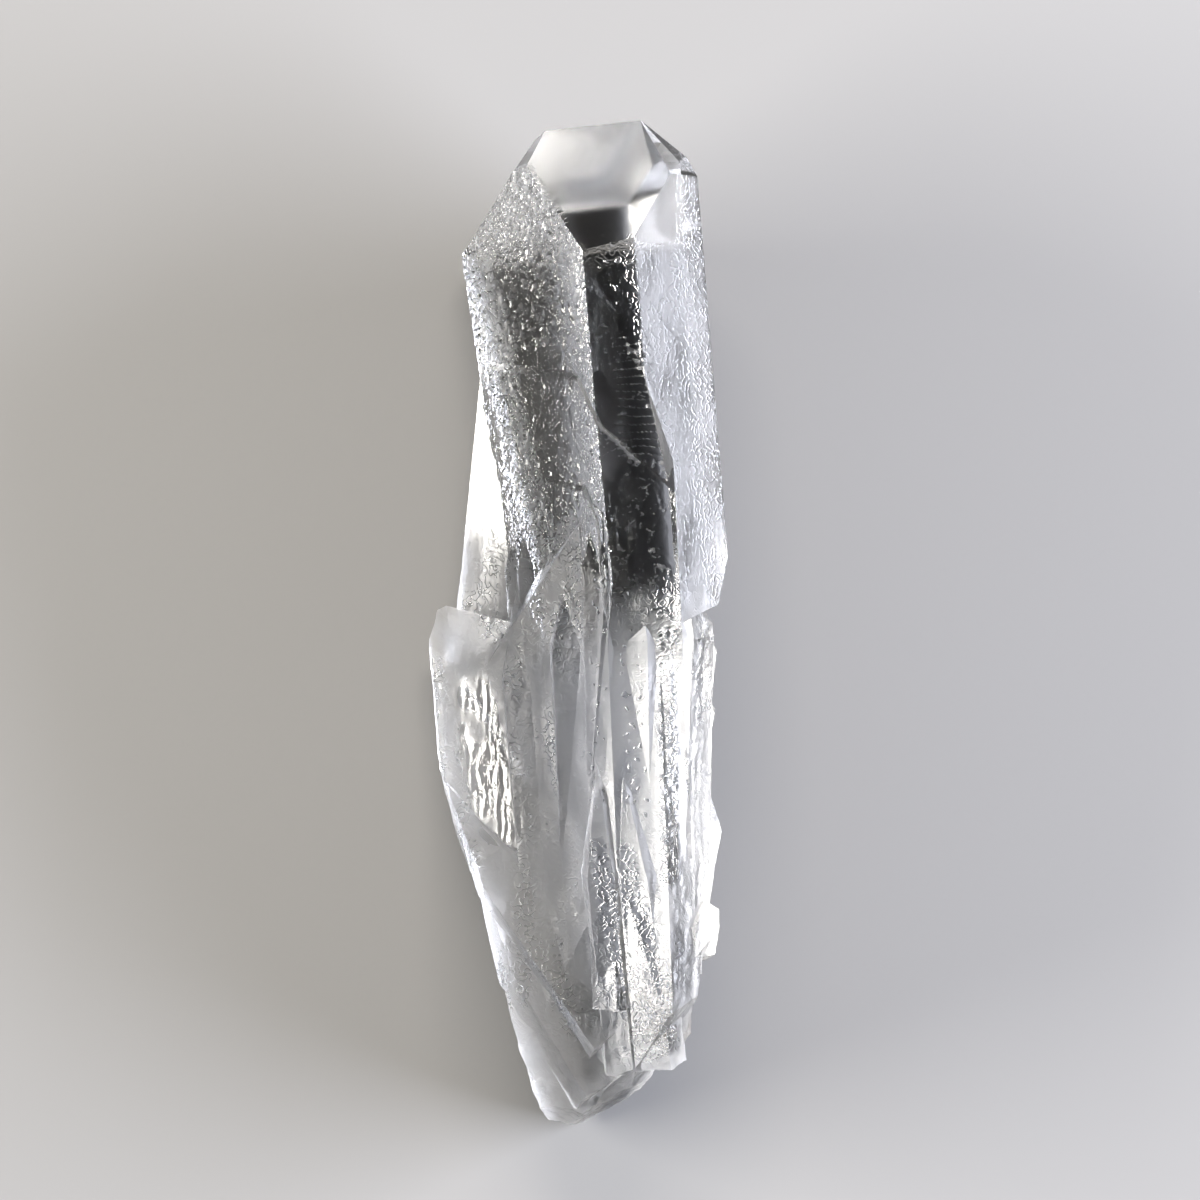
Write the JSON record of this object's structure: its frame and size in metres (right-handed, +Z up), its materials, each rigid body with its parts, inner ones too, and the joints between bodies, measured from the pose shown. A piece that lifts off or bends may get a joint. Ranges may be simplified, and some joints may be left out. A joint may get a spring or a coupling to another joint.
{
  "type": "lemurian quartz crystal",
  "caption": "Clear quartz crystal cluster grown as one piece: a large faceted tip, etched prism faces, growth ledges and a broken foot; lies on its flat back.",
  "frame": {"origin": "on the surface that the crystal lies on, under the middle of its bounding box", "axes": "+Y from the broken foot to the tip, +Z up from the flat back towards the large tip face, +X to the right seen from above"},
  "size_m": [0.0572, 0.1922, 0.0412],
  "materials": {
    "quartz": "clear natural quartz, etched and partly milky"
  },
  "bodies": {
    "root": {"crystal": "quartz"}
  },
  "joints": []
}
